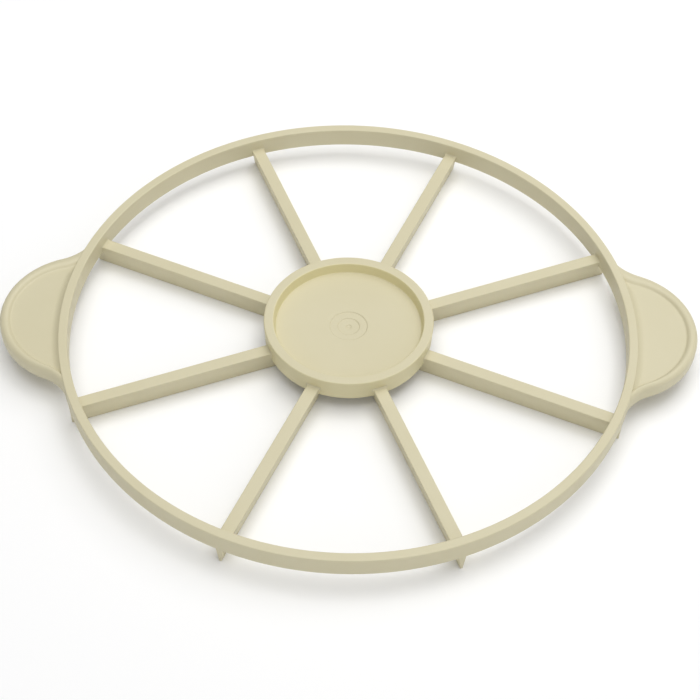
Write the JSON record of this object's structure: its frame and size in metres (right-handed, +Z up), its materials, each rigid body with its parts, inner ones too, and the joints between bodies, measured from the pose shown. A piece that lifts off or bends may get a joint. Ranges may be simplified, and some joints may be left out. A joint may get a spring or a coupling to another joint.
{
  "type": "cake portion marker",
  "caption": "Round moulded plastic marker with a dished hub, wedge-shaped spokes, points under the rim and half-moon side handles, pressed on a cake to mark equal slices.",
  "frame": {"origin": "centre of the marker, on the plane of the blade edges that meet the cake", "axes": "+Z up, away from the cake; +X through the middle of the right handle; +Y away from a person who holds both handles"},
  "size_m": [0.3266, 0.27, 0.0185],
  "materials": {
    "ivory_plastic": "satin moulded ivory plastic"
  },
  "bodies": {
    "root": {"rim": "ivory_plastic", "hub_wall": "ivory_plastic", "hub_floor": "ivory_plastic", "spoke_1": "ivory_plastic", "spoke_2": "ivory_plastic", "spoke_3": "ivory_plastic", "spoke_4": "ivory_plastic", "spoke_5": "ivory_plastic", "spoke_6": "ivory_plastic", "spoke_7": "ivory_plastic", "spoke_8": "ivory_plastic", "point_1": "ivory_plastic", "point_2": "ivory_plastic", "point_3": "ivory_plastic", "point_4": "ivory_plastic", "point_5": "ivory_plastic", "point_6": "ivory_plastic", "point_7": "ivory_plastic", "point_8": "ivory_plastic", "handle_right": "ivory_plastic", "handle_left": "ivory_plastic"}
  },
  "joints": []
}
